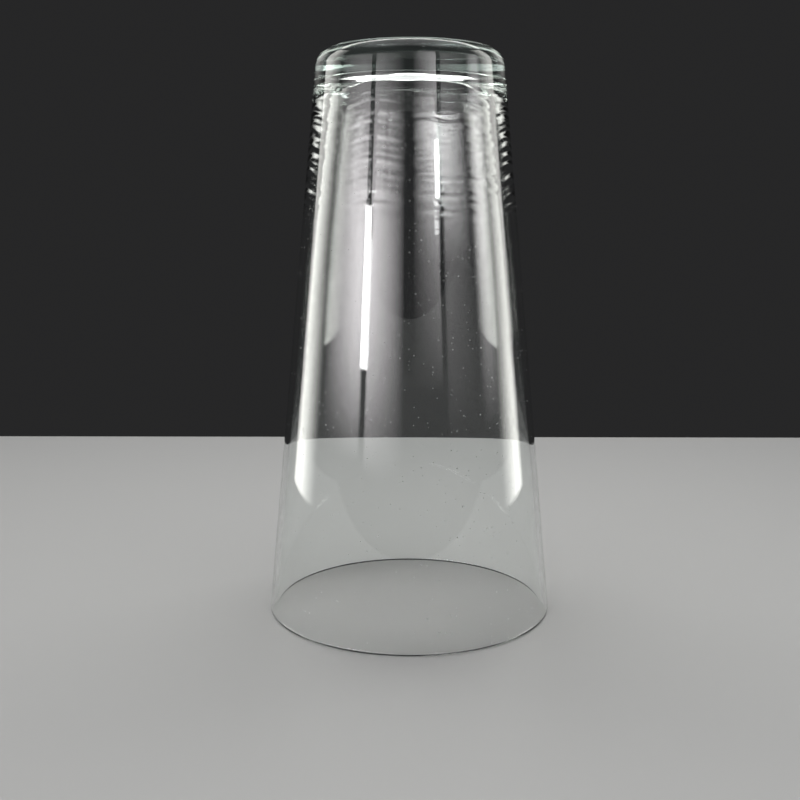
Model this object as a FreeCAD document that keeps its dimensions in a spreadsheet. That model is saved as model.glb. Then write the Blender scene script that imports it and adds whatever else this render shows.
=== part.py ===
import FreeCAD, Part
import math
import os
import Sketcher

# Mixing glass of clear soda-lime glass, standing upside down on its mouth. Millimetres.
# +Z is up, the origin is the centre of the mouth plane, and the thick base is at the top.
# The real glass is one solid piece, so there is one sub-part, glass_body.

os.makedirs("parts", exist_ok=True)

NODE = "glass_body"
SHEET = "Dimensions"

# Driving dimensions: alias, value, meaning.
DIMENSIONS = [
    ("glass_height", 170.0, "mouth plane to bearing ring"),
    ("rim_radius", 44.0, "widest radius, at the rounded lip"),
    ("foot_radius", 27.4, "where the straight wall would meet the base plane"),
    ("wall_thickness", 1.7, "thin part of the wall, and the lip"),
    ("base_thickness", 8.9, "solid glass between the inner floor and the bearing ring"),
    ("heel_radius", 5.75, "outside rounding from the wall to the base"),
    ("floor_radius", 7.5, "inside rounding from the wall to the inner floor"),
    ("thin_wall_height", 95.0, "height at which the wall starts to thicken"),
    ("thickening_radius", 950.0, "long arc of the inner wall above that height"),
    ("push_up_radius", 18.6, "inner edge of the flat bearing ring"),
    ("push_up_depth", 0.5, "hollow of the base inside the bearing ring"),
    ("flute_count", 210, "short radial flutes across the bearing ring"),
    ("flute_start", 19.2, "radius at which a flute starts"),
    ("flute_length", 4.6, "how far a flute runs outwards, out through the heel"),
    ("flute_rounding", 0.25, "radius of a flute's section"),
    ("flute_lift", 0.07, "centre of that section above the bearing ring"),
]
SIZE = {alias: value for alias, value, meaning in DIMENSIONS}


def make_sheet(doc):
    """The spreadsheet that every feature is bound to."""
    sheet = doc.addObject("Spreadsheet::Sheet", SHEET)
    for row, (alias, value, meaning) in enumerate(DIMENSIONS, start=1):
        sheet.set(f"A{row}", alias)
        sheet.set(f"B{row}", str(value))
        sheet.set(f"C{row}", meaning)
        sheet.setAlias(f"B{row}", alias)
    doc.recompute()
    return sheet


def formula_text(terms):
    """An expression from (factor, alias) terms that are added up."""
    return " + ".join(f"({factor}) * {SHEET}.{alias}" for factor, alias in terms)


def formula_value(terms):
    """The same sum as a number."""
    return sum(factor * SIZE[alias] for factor, alias in terms)


def origin_feature(body, role):
    """One of the body's own origin planes or axes."""
    return next(item for item in body.Origin.OriginFeatures if item.Role == role)


def new_sketch(body, name, plane_role):
    """A sketch on one of the body's own origin planes."""
    sketch = body.newObject("Sketcher::SketchObject", name)
    sketch.AttachmentSupport = [(origin_feature(body, plane_role), "")]
    sketch.MapMode = "FlatFace"
    return sketch


def constrain(sketch, kind, *where):
    sketch.addConstraint(Sketcher.Constraint(kind, *where))


def dimension(sketch, name, kind, where, terms):
    """A dimension of the sketch, bound to the spreadsheet."""
    index = sketch.addConstraint(Sketcher.Constraint(kind, *where, formula_value(terms)))
    sketch.renameConstraint(index, name)
    sketch.setExpression(f"Constraints.{name}", formula_text(terms))


def line(start, end):
    return Part.LineSegment(FreeCAD.Vector(*start, 0), FreeCAD.Vector(*end, 0))


def arc(centre, radius, start_angle, end_angle):
    """A circular arc that turns anticlockwise, with its angles in radians."""
    circle = Part.Circle(FreeCAD.Vector(*centre, 0), FreeCAD.Vector(0, 0, 1), radius)
    return Part.ArcOfCircle(circle, start_angle, end_angle)


def away(point, angle, distance):
    """The point at a distance from another, in a direction given in radians."""
    return (point[0] + distance * math.cos(angle), point[1] + distance * math.sin(angle))


def draw_section(body):
    """Half section of the glass: radius across, height up. Returns the sketch.

    The first positions are close to the final ones. The constraints settle them.
    """
    height = SIZE["glass_height"]
    foot = SIZE["foot_radius"]
    wall = SIZE["wall_thickness"]
    heel = SIZE["heel_radius"]
    floor_z = height - SIZE["base_thickness"]
    flare = math.atan2(SIZE["rim_radius"] - foot, height)

    lip_centre = (SIZE["rim_radius"] - wall / 2, wall / 2)
    lip_outside = away(lip_centre, flare, wall / 2)
    lip_inside = away(lip_centre, flare + math.pi, wall / 2)

    heel_centre = (foot - heel * math.tan(math.pi / 4 - flare / 2), height - heel)
    heel_start = away(heel_centre, flare, heel)
    heel_end = (heel_centre[0], height)

    ring_edge = (SIZE["push_up_radius"], height)
    push_up_middle = (0, height - SIZE["push_up_depth"])
    depth = SIZE["push_up_depth"]
    push_up_arc = (SIZE["push_up_radius"] ** 2 + depth ** 2) / (2 * depth)
    push_up_turn = math.asin(SIZE["push_up_radius"] / push_up_arc)
    push_up_centre = (0, push_up_middle[1] + push_up_arc)

    slope = math.tan(flare)
    thin_z = SIZE["thin_wall_height"]
    thin_top = (lip_inside[0] - slope * (thin_z - lip_inside[1]), thin_z)
    long_arc = SIZE["thickening_radius"]
    long_centre = away(thin_top, flare + math.pi, long_arc)
    corner = SIZE["floor_radius"]
    corner_turn = math.asin((floor_z - corner - long_centre[1]) / (long_arc - corner))
    corner_centre = away(long_centre, corner_turn, long_arc - corner)
    corner_end = (corner_centre[0], floor_z)

    sketch = new_sketch(body, "glass_section", "XZ_Plane")
    quarter = math.pi / 2
    outline = {
        "outer_wall": line(lip_outside, heel_start),
        "heel": arc(heel_centre, heel, flare, quarter),
        "ring": line(heel_end, ring_edge),
        "push_up": arc(push_up_centre, push_up_arc, 3 * quarter, 3 * quarter + push_up_turn),
        "axis": line(push_up_middle, (0, floor_z)),
        "floor": line((0, floor_z), corner_end),
        "corner": arc(corner_centre, corner, corner_turn, quarter),
        "thick_wall": arc(long_centre, long_arc, flare, corner_turn),
        "thin_wall": line(thin_top, lip_inside),
        "lip": arc(lip_centre, wall / 2, flare + math.pi, flare + 2 * math.pi),
    }
    edge = {name: sketch.addGeometry(shape, False) for name, shape in outline.items()}
    foot_point = sketch.addGeometry(Part.Point(FreeCAD.Vector(foot, height, 0)), True)

    start, end, middle = 1, 2, 3
    origin = (-1, 1)
    vertical_axis = -2
    smooth_joints = [
        ("outer_wall", end, "heel", start),
        ("heel", end, "ring", start),
        ("floor", end, "corner", end),
        ("corner", start, "thick_wall", end),
        ("thick_wall", start, "thin_wall", start),
        ("thin_wall", end, "lip", start),
        ("lip", end, "outer_wall", start),
    ]
    for first, first_end, second, second_end in smooth_joints:
        constrain(sketch, "Tangent", edge[first], first_end, edge[second], second_end)
    sharp_joints = [
        ("ring", end, "push_up", end),
        ("push_up", start, "axis", start),
        ("axis", end, "floor", start),
    ]
    for first, first_end, second, second_end in sharp_joints:
        constrain(sketch, "Coincident", edge[first], first_end, edge[second], second_end)
    constrain(sketch, "Horizontal", edge["ring"])
    constrain(sketch, "Horizontal", edge["floor"])
    constrain(sketch, "Parallel", edge["outer_wall"], edge["thin_wall"])
    constrain(sketch, "PointOnObject", foot_point, start, edge["outer_wall"])
    constrain(sketch, "PointOnObject", edge["push_up"], middle, vertical_axis)
    constrain(sketch, "PointOnObject", edge["axis"], start, vertical_axis)
    constrain(sketch, "PointOnObject", edge["axis"], end, vertical_axis)

    across, up, radius = "DistanceX", "DistanceY", "Radius"
    half_wall = [(0.5, "wall_thickness")]
    sizes = [
        ("foot_out", across, (*origin, foot_point, start), [(1, "foot_radius")]),
        ("foot_up", up, (*origin, foot_point, start), [(1, "glass_height")]),
        ("ring_up", up, (*origin, edge["ring"], start), [(1, "glass_height")]),
        ("ring_in", across, (*origin, edge["ring"], end), [(1, "push_up_radius")]),
        ("push_up_up", up, (*origin, edge["axis"], start),
         [(1, "glass_height"), (-1, "push_up_depth")]),
        ("floor_up", up, (*origin, edge["axis"], end),
         [(1, "glass_height"), (-1, "base_thickness")]),
        ("thin_up", up, (*origin, edge["thin_wall"], start), [(1, "thin_wall_height")]),
        ("lip_out", across, (*origin, edge["lip"], middle),
         [(1, "rim_radius"), (-0.5, "wall_thickness")]),
        ("lip_up", up, (*origin, edge["lip"], middle), half_wall),
        ("lip_size", radius, (edge["lip"],), half_wall),
        ("heel_size", radius, (edge["heel"],), [(1, "heel_radius")]),
        ("corner_size", radius, (edge["corner"],), [(1, "floor_radius")]),
        ("thick_size", radius, (edge["thick_wall"],), [(1, "thickening_radius")]),
    ]
    for name, kind, where, terms in sizes:
        dimension(sketch, name, kind, where, terms)
    return sketch


def draw_flute(body):
    """Round section of one flute, on a plane that faces outwards along +X."""
    sketch = new_sketch(body, "flute_section", "YZ_Plane")
    sketch.setExpression("AttachmentOffset.Base.z", f"{SHEET}.flute_start")
    centre = FreeCAD.Vector(0, SIZE["glass_height"] + SIZE["flute_lift"], 0)
    circle = Part.Circle(centre, FreeCAD.Vector(0, 0, 1), SIZE["flute_rounding"])
    flute = sketch.addGeometry(circle, False)
    constrain(sketch, "PointOnObject", flute, 3, -2)
    dimension(sketch, "flute_up", "DistanceY", (-1, 1, flute, 3),
              [(1, "glass_height"), (1, "flute_lift")])
    dimension(sketch, "flute_size", "Radius", (flute,), [(1, "flute_rounding")])
    return sketch


def build_glass(doc):
    """The whole glass: a turned section, with flutes cut into its bearing ring."""
    body = doc.addObject("PartDesign::Body", NODE)
    body.Label = NODE

    section = draw_section(body)
    doc.recompute()
    turned = body.newObject("PartDesign::Revolution", "turned_glass")
    turned.Profile = section
    turned.ReferenceAxis = (section, ["V_Axis"])
    turned.Angle = 360
    doc.recompute()
    plain_volume = body.Shape.Volume

    flute = body.newObject("PartDesign::Pocket", "flute")
    flute.Profile = draw_flute(body)
    flute.Type = "Length"
    flute.Reversed = True
    flute.setExpression("Length", f"{SHEET}.flute_length")
    doc.recompute()
    ring = body.newObject("PartDesign::PolarPattern", "flute_ring")
    ring.Originals = [flute]
    ring.Axis = (origin_feature(body, "Z_Axis"), [""])
    ring.Angle = 360
    ring.setExpression("Occurrences", f"{SHEET}.flute_count")
    body.Tip = ring
    doc.recompute()
    print("sketch freedom left:", section.solve(), section.FullyConstrained)
    print("volume cut by the flutes, mm3:", round(plain_volume - body.Shape.Volume, 3))
    return body


def check(doc, body):
    """Stop unless every object and the finished shape are sound."""
    for item in doc.Objects:
        if "Invalid" in item.State or "Error" in item.State:
            raise RuntimeError(f"{item.Name} failed: {item.State}")
    shape = body.Shape
    if shape.isNull() or not shape.isValid() or len(shape.Solids) != 1:
        raise RuntimeError(f"{body.Label} is not one valid solid")


document = FreeCAD.newDocument("mixing_glass")
make_sheet(document)
glass = build_glass(document)
check(document, glass)
glass.Shape.exportStep(f"parts/{NODE}.step")
box = glass.Shape.optimalBoundingBox(True, False)
print(f"{NODE}: {box.XLength:.2f} x {box.YLength:.2f} x {box.ZLength:.2f} mm,",
      f"z {box.ZMin:.3f} to {box.ZMax:.3f}, volume {glass.Shape.Volume / 1000:.2f} cm3")
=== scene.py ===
"""Looks of a mixing glass that stands upside down on its mouth. Metres, +Z up, base at the top.

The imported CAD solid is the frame. One high-resolution glass mesh, turned from the same section,
stands for it, with the waves, flutes and fine wear that the plain solid leaves out.
"""
import math

import bpy
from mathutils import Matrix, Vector, noise


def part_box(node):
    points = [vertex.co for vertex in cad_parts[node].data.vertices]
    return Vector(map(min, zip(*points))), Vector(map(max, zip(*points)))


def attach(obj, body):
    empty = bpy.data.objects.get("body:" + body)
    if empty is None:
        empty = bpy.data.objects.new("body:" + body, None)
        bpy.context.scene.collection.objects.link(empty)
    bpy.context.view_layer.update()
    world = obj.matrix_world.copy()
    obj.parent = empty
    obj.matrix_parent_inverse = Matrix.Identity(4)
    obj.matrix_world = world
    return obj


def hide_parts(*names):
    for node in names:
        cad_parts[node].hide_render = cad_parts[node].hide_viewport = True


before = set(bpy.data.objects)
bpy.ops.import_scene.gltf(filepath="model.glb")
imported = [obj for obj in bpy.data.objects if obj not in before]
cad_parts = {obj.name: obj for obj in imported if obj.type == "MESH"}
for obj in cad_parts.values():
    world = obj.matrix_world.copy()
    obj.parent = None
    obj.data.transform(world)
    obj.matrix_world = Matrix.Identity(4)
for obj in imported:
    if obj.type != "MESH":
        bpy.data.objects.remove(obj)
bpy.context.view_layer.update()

MM = 0.001
CAD_NODE = "glass_body"

# The section, as in the CAD model.
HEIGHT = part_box(CAD_NODE)[1].z
RIM = 44.0 * MM
FOOT = 27.4 * MM
WALL = 1.7 * MM
BASE = 8.9 * MM
HEEL = 5.75 * MM
FLOOR_CORNER = 7.5 * MM
THIN_TOP = 95.0 * MM
LONG_ARC = 950.0 * MM
PUSH_UP = 18.6 * MM
PUSH_UP_DEPTH = 0.5 * MM
FLUTES = 210
FLUTE_START = 19.2 * MM
FLUTE_DEPTH = 0.18 * MM
FLUTE_ROUNDING = 0.25 * MM
FLUTE_RUN_OUT = math.radians(72)

# The mesh. The flutes need eight segments each, seven times those of the plain turned surfaces,
# and end inwards in a short slope.
SEGMENTS = 240
FLUTE_SEGMENTS = SEGMENTS * 7
FLUTE_SLOPE = 0.15 * MM

FLOOR_WIDTH = 1.1
FLOOR_REACH = 0.262

# How far from the glass's axis the upright lights stand. The slots hang just in front of the rest.
PANEL_DISTANCE = 0.30
SLOT_DISTANCE = 0.295

# Waves that the plunger and the flowing glass left on the inner wall, and finer ripples next to
# the base. Each grows from nothing at its low height to its full depth. The turn says how fast
# they change round the wall.
WAVE_LOW = 116.0 * MM
WAVE_FULL = 128.0 * MM
WAVE_DEPTH = 0.11 * MM
WAVE_LENGTH = 1.5 * MM
WAVE_TURN = 2.2
WAVE_DRIFT = 3.0 * MM
RIPPLE_LOW = 128.0 * MM
RIPPLE_FULL = 152.0 * MM
RIPPLE_DEPTH = 0.025 * MM
RIPPLE_LENGTH = 0.6 * MM
RIPPLE_TURN = 3.0


def smooth_step(low, high, value):
    """0 below low, 1 above high, and smooth between."""
    share = min(max((value - low) / (high - low), 0.0), 1.0)
    return share * share * (3 - 2 * share)


def away(point, angle, distance):
    """The point at this distance and angle from another."""
    return (point[0] + distance * math.cos(angle), point[1] + distance * math.sin(angle))


def straight(start, end, count):
    """Evenly spaced points from start to end, without the end."""
    steps = [index / count for index in range(count)]
    return [(start[0] + (end[0] - start[0]) * s, start[1] + (end[1] - start[1]) * s) for s in steps]


def curved(centre, radius, start, end, count):
    """Points of an arc from one angle to another, without the end."""
    return [away(centre, start + (end - start) * index / count, radius) for index in range(count)]


def section():
    """Closed half section as stretches of (radius, height) points, from the lip round to the lip.

    The last number of each straight and curved stretch is its number of segments.
    """
    lip_centre = (RIM - WALL / 2, WALL / 2)
    reach = (FOOT - lip_centre[0], HEIGHT - lip_centre[1])
    flare = math.atan2(reach[1], reach[0]) - math.acos(WALL / 2 / math.hypot(*reach))
    slope = math.tan(flare)
    quarter = math.pi / 2

    lip_outside = away(lip_centre, flare, WALL / 2)
    lip_inside = away(lip_centre, flare + math.pi, WALL / 2)
    heel_centre = (FOOT - HEEL * (1 - math.sin(flare)) / math.cos(flare), HEIGHT - HEEL)
    heel_start = away(heel_centre, flare, HEEL)

    push_up_arc = (PUSH_UP ** 2 + PUSH_UP_DEPTH ** 2) / (2 * PUSH_UP_DEPTH)
    push_up_turn = math.asin(PUSH_UP / push_up_arc)
    push_up_centre = (0, HEIGHT - PUSH_UP_DEPTH + push_up_arc)

    floor_z = HEIGHT - BASE
    thin_top = (lip_inside[0] - slope * (THIN_TOP - lip_inside[1]), THIN_TOP)
    long_centre = away(thin_top, flare + math.pi, LONG_ARC)
    inner_arc = LONG_ARC - FLOOR_CORNER
    corner_turn = math.asin((floor_z - FLOOR_CORNER - long_centre[1]) / inner_arc)
    corner_centre = away(long_centre, corner_turn, inner_arc)
    smooth_turn = math.asin((WAVE_LOW - long_centre[1]) / LONG_ARC)

    return {
        "outer_wall": straight(lip_outside, heel_start, 24),
        "heel": curved(heel_centre, HEEL, flare, FLUTE_RUN_OUT, 18),
        "flutes": curved(heel_centre, HEEL, FLUTE_RUN_OUT, quarter, 6)
                  + straight((heel_centre[0], HEIGHT), (FLUTE_START, HEIGHT), 4)
                  + [(FLUTE_START, HEIGHT), (FLUTE_START - FLUTE_SLOPE, HEIGHT)],
        "push_up": curved(push_up_centre, push_up_arc,
                          3 * quarter + push_up_turn, 3 * quarter, 14),
        "base_centre": [(0.0, HEIGHT - PUSH_UP_DEPTH)],
        "floor_centre": [(0.0, floor_z)],
        "floor": straight((corner_centre[0] / 26, floor_z), (corner_centre[0], floor_z), 25),
        "corner": curved(corner_centre, FLOOR_CORNER, quarter, corner_turn, 34),
        "wavy_wall": curved(long_centre, LONG_ARC, corner_turn, smooth_turn, 100),
        "smooth_wall": curved(long_centre, LONG_ARC, smooth_turn, flare, 12),
        "thin_wall": straight(thin_top, lip_inside, 16),
        "lip": curved(lip_centre, WALL / 2, flare + math.pi, flare + 2 * math.pi, 16),
    }


def wave(angle, height):
    """How far the inner wall's waves stand off the turned surface, from about -1 to 1.

    They run round the wall and wander up and down on their way. The fixed offsets here and in
    ripple() only pick separate parts of the noise.
    """
    across = Vector((math.cos(angle), math.sin(angle), 0)) * WAVE_TURN
    drift = WAVE_DRIFT * noise.noise(across + Vector((0, 0, 9.1)))
    return noise.noise(across + Vector((3.1, 0, (height + drift) / WAVE_LENGTH)))


def ripple(angle, height):
    """Finer and shorter ripples between the waves, from about -1 to 1."""
    across = Vector((math.cos(angle), math.sin(angle), 0)) * RIPPLE_TURN
    return noise.noise(across + Vector((0, 7.7, height / RIPPLE_LENGTH)))


def inner_shift(angle, height):
    """Unevenness of the inner wall, as a distance into the glass."""
    waves = WAVE_DEPTH * smooth_step(WAVE_LOW, WAVE_FULL, height)
    ripples = RIPPLE_DEPTH * smooth_step(RIPPLE_LOW, RIPPLE_FULL, height)
    return waves * wave(angle, height) + ripples * ripple(angle, height)


def flute_bottom(angle, radius):
    """Height of the round-bottomed flute that a place on the bearing ring may lie in."""
    pitch = 2 * math.pi / FLUTES
    aside = abs((angle + pitch / 2) % pitch - pitch / 2) * radius
    lift = FLUTE_ROUNDING - FLUTE_DEPTH
    if aside >= math.sqrt(FLUTE_ROUNDING ** 2 - lift ** 2) or radius < FLUTE_START:
        return HEIGHT
    return HEIGHT + lift - math.sqrt(FLUTE_ROUNDING ** 2 - aside ** 2)


def ring_points(stretch, radius, height, segments):
    """One ring of vertices, with the stretch's unevenness."""
    points = []
    for index in range(segments):
        angle = 2 * math.pi * index / segments
        around, up = radius, height
        if stretch == "flutes":
            up = min(height, flute_bottom(angle, radius))
        if stretch in ("wavy_wall", "corner"):
            around = radius + inner_shift(angle, height)
        points.append((around * math.cos(angle), around * math.sin(angle), up))
    return points


def bridge(faces, first, second):
    """Faces between two rings.

    Either may be one point, or have a multiple of the other's segments.
    """
    if len(first) == 1 and len(second) == 1:
        return
    if len(second) < len(first):
        turned = []
        bridge(turned, second, first)
        faces.extend(tuple(reversed(face)) for face in turned)
        return
    many = len(second)
    ratio = many // len(first)
    for index in range(len(first)):
        here = first[index]
        there = first[(index + 1) % len(first)]
        fine = [second[(index * ratio + step) % many] for step in range(ratio + 1)]
        if len(first) == 1:
            faces.extend((here, fine[step + 1], fine[step]) for step in range(ratio))
            continue
        if ratio == 1:
            faces.append((here, there, fine[1], fine[0]))
            continue
        half = ratio // 2
        faces.extend((here, fine[step + 1], fine[step]) for step in range(half))
        faces.append((here, there, fine[half]))
        faces.extend((there, fine[step + 1], fine[step]) for step in range(half, ratio))


def turn_glass():
    """The glass as one closed mesh."""
    vertices, faces, rings = [], [], []
    for stretch, points in section().items():
        segments = FLUTE_SEGMENTS if stretch == "flutes" else SEGMENTS
        for radius, height in points:
            if radius < 1e-6:
                ring = [(0.0, 0.0, height)]
            else:
                ring = ring_points(stretch, radius, height, segments)
            first = len(vertices)
            vertices.extend(ring)
            rings.append(range(first, first + len(ring)))
    for index, ring in enumerate(rings):
        bridge(faces, ring, rings[(index + 1) % len(rings)])
    mesh = bpy.data.meshes.new("mixing_glass")
    mesh.from_pydata(vertices, [], faces)
    mesh.shade_smooth()
    mesh.validate()
    glass = bpy.data.objects.new("mixing_glass", mesh)
    bpy.context.scene.collection.objects.link(glass)
    return glass


class Nodes:
    """A short way to write the node tree of a material or a light."""

    def __init__(self, owner):
        owner.use_nodes = True
        self.tree = owner.node_tree

    def named(self, name):
        return self.tree.nodes[name]

    def add(self, kind, inputs=None, **settings):
        node = self.tree.nodes.new(kind)
        for name, value in settings.items():
            setattr(node, name, value)
        for name, value in (inputs or {}).items():
            if isinstance(value, bpy.types.NodeSocket):
                self.tree.links.new(value, node.inputs[name])
            else:
                node.inputs[name].default_value = value
        return node

    def link(self, source, target):
        self.tree.links.new(source, target)

    def ramp(self, value, low, high, low_out=0.0, high_out=1.0, kind="SMOOTHSTEP"):
        """Map a value range onto another."""
        node = self.add("ShaderNodeMapRange", {
            "Value": value, "From Min": low, "From Max": high,
            "To Min": low_out, "To Max": high_out,
        }, interpolation_type=kind)
        return node.outputs["Result"]

    def math(self, operation, first, second):
        node = self.add("ShaderNodeMath", {0: first, 1: second}, operation=operation)
        return node.outputs[0]


def glass_material():
    """Clear soda-lime glass, green where light goes a long way through it, with dust and wear."""
    material = bpy.data.materials.new("clear_soda_lime_glass")
    nodes = Nodes(material)
    shader = nodes.named("Principled BSDF")
    shader.inputs["Base Color"].default_value = (0.985, 0.995, 0.99, 1)
    shader.inputs["Transmission Weight"].default_value = 1.0
    shader.inputs["IOR"].default_value = 1.52
    place = nodes.add("ShaderNodeTexCoord").outputs["Object"]

    # Dust: far apart specks of uneven size.
    cells = nodes.add("ShaderNodeTexVoronoi", {"Vector": place, "Scale": 600.0})
    chance = nodes.add("ShaderNodeSeparateColor", {"Color": cells.outputs["Color"]})
    size = nodes.ramp(chance.outputs[0], 0.6, 1.0, 0.0, 0.11)
    speck = nodes.math("LESS_THAN", cells.outputs["Distance"], size)

    # Fine rubbing marks, denser on the bearing ring, where the glass is set down.
    height = nodes.add("ShaderNodeSeparateXYZ", {"Vector": place}).outputs["Z"]
    near_ring = nodes.ramp(height, HEIGHT - 0.6 * MM, HEIGHT - 0.05 * MM)
    marks = nodes.add("ShaderNodeTexNoise", {"Vector": place, "Scale": 900.0, "Detail": 3.0})
    wear = nodes.ramp(marks.outputs["Fac"], 0.5, 0.7, 0.03, 0.2)
    worn = nodes.math("MULTIPLY", near_ring, wear)
    rough = nodes.math("MAXIMUM", worn, nodes.math("MULTIPLY", speck, 0.8))
    nodes.link(rough, shader.inputs["Roughness"])

    tint = {"Color": (0.2, 0.76, 0.5, 1), "Density": 4.0}
    absorption = nodes.add("ShaderNodeVolumeAbsorption", tint)
    nodes.link(absorption.outputs[0], nodes.named("Material Output").inputs["Volume"])
    return material


def floor_material():
    """Plain pale floor."""
    material = bpy.data.materials.new("pale_floor")
    shader = Nodes(material).named("Principled BSDF")
    shader.inputs["Base Color"].default_value = (0.5, 0.5, 0.495, 1)
    shader.inputs["Roughness"].default_value = 0.45
    shader.inputs["Specular IOR Level"].default_value = 0.3
    return material


def build_glass():
    """The glass in place of its CAD node."""
    glass = turn_glass()
    glass.data.materials.append(glass_material())
    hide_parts(CAD_NODE)
    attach(glass, "root")
    return glass


def build_floor():
    """A plain floor under the glass."""
    bpy.ops.mesh.primitive_plane_add(size=1)
    floor = bpy.context.object
    floor.name = "floor"
    floor.scale = (FLOOR_WIDTH, 2 * FLOOR_REACH, 1)
    floor.data.materials.append(floor_material())
    return floor


def beside(azimuth, distance, height):
    """A place around the glass. Azimuth 0 is towards the camera, and positive is to its right."""
    angle = math.radians(azimuth)
    return Vector((distance * math.sin(angle), -distance * math.cos(angle), height))


def fade_edges(light, near, far, low, high):
    """Let a light fade out towards its edges, each over a share of its width or height.

    Near and far are the edges of the smaller and the larger azimuth.
    """
    nodes = Nodes(light)
    face = nodes.add("ShaderNodeNewGeometry").outputs["Parametric"]
    across, up, _ = nodes.add("ShaderNodeSeparateXYZ", {0: face}).outputs
    edges = ((across, 0, near), (across, 1, 1 - far), (up, 0, low), (up, 1, 1 - high))
    strength = 1.0
    for position, edge, inside in edges:
        share = nodes.ramp(position, edge, inside, kind="LINEAR")
        strength = nodes.math("MULTIPLY", share, strength)
    nodes.link(strength, nodes.named("Emission").inputs["Strength"])


def hide_through_glass(light):
    """Leave a light out where it would be seen straight through the glass.

    Its reflections stay. The camera doesn't see the lights beside the glass either.
    """
    nodes = Nodes(light)
    path = nodes.add("ShaderNodeLightPath").outputs
    reflections = nodes.math("ADD", path["Glossy Depth"], path["Diffuse Depth"])
    in_glass = nodes.math("GREATER_THAN", path["Transmission Depth"], 0.5)
    unreflected = nodes.math("LESS_THAN", reflections, 0.5)
    straight_through = nodes.math("MULTIPLY", in_glass, unreflected)
    kept = nodes.math("SUBTRACT", 1.0, straight_through)
    strength = nodes.named("Emission").inputs["Strength"]
    faded = strength.links[0].from_socket
    nodes.link(nodes.math("MULTIPLY", faded, kept), strength)


def light_only(receiver, lamps):
    """Let lamps light one object and none of the others."""
    group = bpy.data.collections.new(f"{receiver.name}_only")
    group.objects.link(receiver)
    for lamp in lamps:
        lamp.light_linking.receiver_collection = group


def softbox(name, place, target, width, height, radiance, fade, colour=(1, 1, 1)):
    """A soft rectangular light. Radiance is how bright the middle of its face is."""
    light = bpy.data.lights.new(name, "AREA")
    light.shape = "RECTANGLE"
    light.size = width
    light.size_y = height
    light.energy = 4 * radiance * width * height
    light.color = colour
    fade_edges(light, *fade)
    lamp = bpy.data.objects.new(name, light)
    lamp.location = place
    lamp.rotation_euler = (Vector(target) - place).to_track_quat("-Z", "Y").to_euler()
    lamp.visible_camera = False
    bpy.context.scene.collection.objects.link(lamp)
    return lamp


def upright(name, azimuths, heights, radiance, fade, colour=(1, 1, 1), distance=PANEL_DISTANCE):
    """A soft upright light that faces the glass and spans these azimuths in degrees and heights."""
    turn = math.radians(azimuths[1] - azimuths[0])
    width = 2 * distance * math.tan(turn / 2)
    height = heights[1] - heights[0]
    middle = sum(heights) / 2
    place = beside(sum(azimuths) / 2, distance, middle)
    lamp = softbox(name, place, (0, 0, middle), width, height, radiance, fade, colour)
    hide_through_glass(lamp.data)
    return lamp


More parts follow.
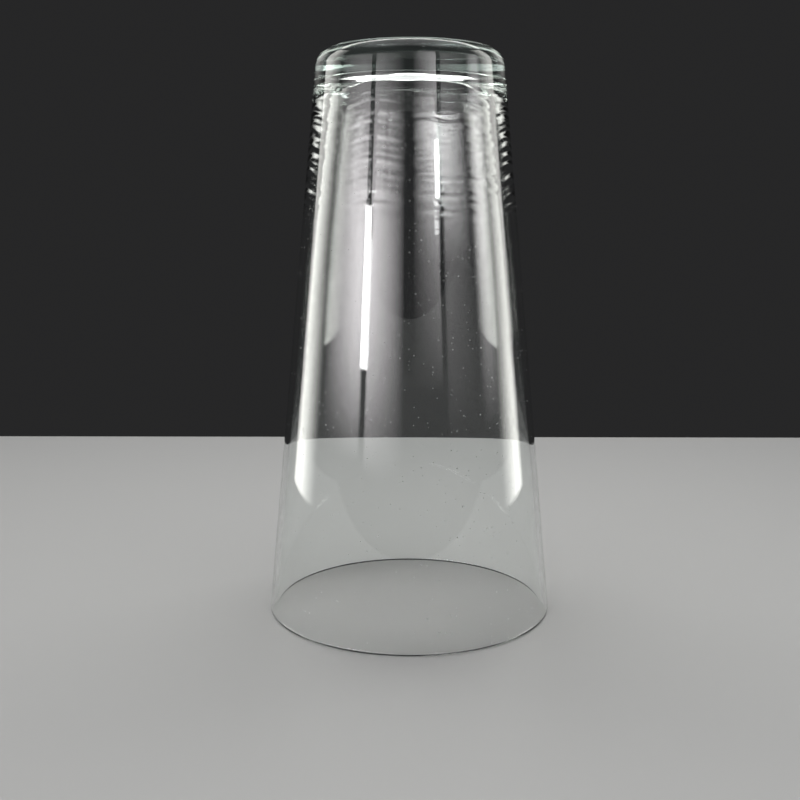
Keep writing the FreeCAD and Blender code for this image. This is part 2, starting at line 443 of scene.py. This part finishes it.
def build_lights(glass, floor):
    """Light for the glass and light for the floor.

    Upright panels and strips, with gaps between them, stand round the glass. Only it reflects them.
    A bar behind it and a dim light overhead light both, and a wide light overhead only the floor.
    """
    cream, warm = (1.0, 0.995, 0.95), (1.0, 0.96, 0.98)
    light_only(glass, [
        upright("left_strip", (-117, -86), (-0.01, 0.42), 3.6, (0.1, 0.6, 0.01, 0.05), cream),
        upright("right_strip", (85, 113), (-0.01, 0.42), 3.6, (0.6, 0.15, 0.01, 0.05), cream),
        upright("left_back_panel", (-160, -119), (0.20, 0.34), 1.0, (0.5, 0.5, 0.3, 0.3), cream),
        upright("right_back_panel", (119, 160), (0.20, 0.34), 1.0, (0.5, 0.5, 0.3, 0.3), cream),
        upright("left_side_panel", (-84, -43.5), (0.04, 0.29), 12.0, (0.8, 0.02, 0.6, 0.75), warm),
        upright("left_front_panel", (-39, -5), (0.035, 0.30), 11.0, (0.02, 0.9, 0.6, 0.75), warm),
        upright("right_front_panel", (3, 29.5), (0.08, 0.36), 6.0, (1.0, 0.02, 0.85, 0.35), warm),
        upright("right_middle_panel", (33.5, 66), (0.05, 0.33), 2.2, (0.05, 0.8, 0.9, 0.4), warm),
        upright("right_side_panel", (66, 88), (0.05, 0.33), 4.5, (0.4, 0.3, 0.6, 0.5), warm),
        upright("left_slot", (-44.5, -37.5), (0.09, 0.177), 25.0, (0.1, 0.1, 0.03, 0.03),
                distance=SLOT_DISTANCE),
        upright("right_slot", (25.5, 30.5), (0.182, 0.213), 25.0, (0.1, 0.1, 0.03, 0.03),
                distance=SLOT_DISTANCE),
    ])
    softbox("back_bar", Vector((0, 0.12, 0.42)), (0, 0, HEIGHT), width=0.56, height=0.06,
            radiance=4.5, fade=(0.1, 0.1, 0.3, 0.3), colour=cream)
    softbox("overhead", Vector((0, 0.05, 0.75)), (0, 0.05, 0), width=0.9, height=0.8,
            radiance=0.8, fade=(0.2, 0.2, 0.2, 0.2))
    floor_light = softbox("floor_light", Vector((0, 0, 0.9)), (0, 0, 0), width=1.6, height=1.6,
                          radiance=1.15, fade=(0.2, 0.2, 0.2, 0.2))
    light_only(floor, [floor_light])


def build_world():
    """Dark grey surroundings, against which the lights' reflections show."""
    world = bpy.data.worlds.new("studio")
    world.use_nodes = True
    world.node_tree.nodes["Background"].inputs["Color"].default_value = (0.02, 0.02, 0.0205, 1)
    bpy.context.scene.world = world


def build_camera():
    """A camera close in front of the glass, below the height of its base, looking a little down."""
    data = bpy.data.cameras.new("camera")
    data.sensor_width = 36.0
    data.lens = 48.02
    camera = bpy.data.objects.new("camera", data)
    camera.location = (0, -0.3263, 0.1209)
    looks_down = math.radians(9.626)
    looks_left = math.radians(0.515)
    camera.rotation_euler = (math.pi / 2 - looks_down, 0, looks_left)
    bpy.context.scene.collection.objects.link(camera)
    bpy.context.scene.camera = camera


glass = build_glass()
floor = build_floor()
build_lights(glass, floor)
build_world()
build_camera()
bpy.context.scene.view_settings.view_transform = "Standard"
